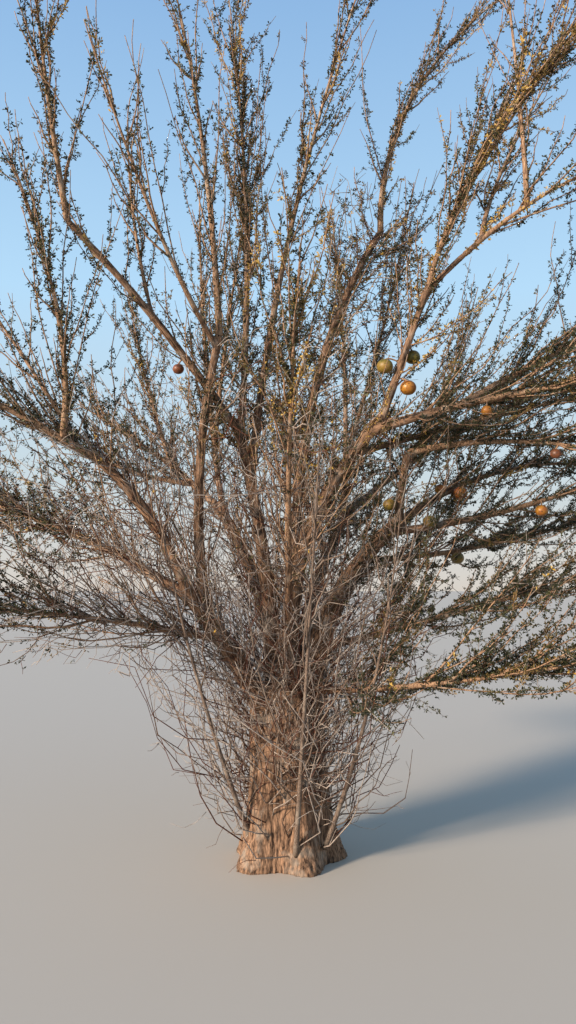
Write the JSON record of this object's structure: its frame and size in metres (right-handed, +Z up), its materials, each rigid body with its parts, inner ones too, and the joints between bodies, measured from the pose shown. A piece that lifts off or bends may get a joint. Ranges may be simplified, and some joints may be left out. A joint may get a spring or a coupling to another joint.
{
  "type": "calabash tree",
  "caption": "Dry-country calabash tree: short fluted trunk forking low into spreading boughs, with long leafy rods, bare shoot tips and hard round gourds hanging from the limbs.",
  "frame": {"origin": "on the flat cut under the trunk at ground level, under the middle of the root flare", "axes": "+Z up along the trunk, -Y towards the side that the picture shows, +X to its right; -Z is the way the foot faces the ground"},
  "size_m": [5.6395, 4.126, 5.8491],
  "materials": {
    "bark": "rough, finely fissured bark, paler on the sunlit limbs",
    "leafy_shoots": "small matt olive leaves set close along thin rods, with a few yellowing ones",
    "bare_shoots": "matt pinkish brown young bark"
  },
  "bodies": {
    "root": {"back_left_bough": "bark", "back_left_low_foliage": "leafy_shoots", "back_left_top_bough": "bark", "back_left_top_foliage": "leafy_shoots", "back_middle_bough": "bark", "back_middle_foliage": "leafy_shoots", "back_right_bough": "bark", "back_right_low_foliage": "leafy_shoots", "back_right_top_bough": "bark", "back_right_top_foliage": "leafy_shoots", "centre_bough": "bark", "centre_right_top_bough": "bark", "centre_right_top_foliage": "leafy_shoots", "centre_top_bough": "bark", "centre_top_foliage": "leafy_shoots", "front_bough": "bark", "front_foliage": "leafy_shoots", "front_sucker_shoots": "bare_shoots", "inner_right_bough": "bark", "inner_right_top_foliage": "leafy_shoots", "left_bough": "bark", "left_inner_bough": "bark", "left_inner_foliage": "leafy_shoots", "left_mid_bough": "bark", "left_outer_foliage": "leafy_shoots", "left_sucker_shoots": "bare_shoots", "left_top_foliage": "leafy_shoots", "left_upright_bough": "bark", "low_front_bough": "bark", "low_front_foliage": "leafy_shoots", "low_left_bough": "bark", "low_left_foliage": "leafy_shoots", "low_right_bough": "bark", "low_right_foliage": "leafy_shoots", "lowest_left_bough": "bark", "lowest_left_foliage": "leafy_shoots", "right_bough": "bark", "right_centre_bough": "bark", "right_elbow_bough": "bark", "right_high_bough": "bark", "right_high_foliage": "leafy_shoots", "right_inner_bough": "bark", "right_inner_foliage": "leafy_shoots", "right_level_foliage": "leafy_shoots", "right_low_bough": "bark", "right_low_foliage": "leafy_shoots", "right_lower_bough": "bark", "right_lower_foliage": "leafy_shoots", "right_mid_bough": "bark", "right_mid_foliage": "leafy_shoots", "right_sucker_shoots": "bare_shoots", "right_top_foliage": "leafy_shoots", "right_under_bough": "bark", "right_under_foliage": "leafy_shoots", "right_upright_bough": "bark", "trunk": "bark", "upper_left_bough": "bark", "upper_left_riser_bough": "bark", "upper_left_riser_foliage": "leafy_shoots", "upper_left_top_foliage": "leafy_shoots"}
  },
  "joints": []
}
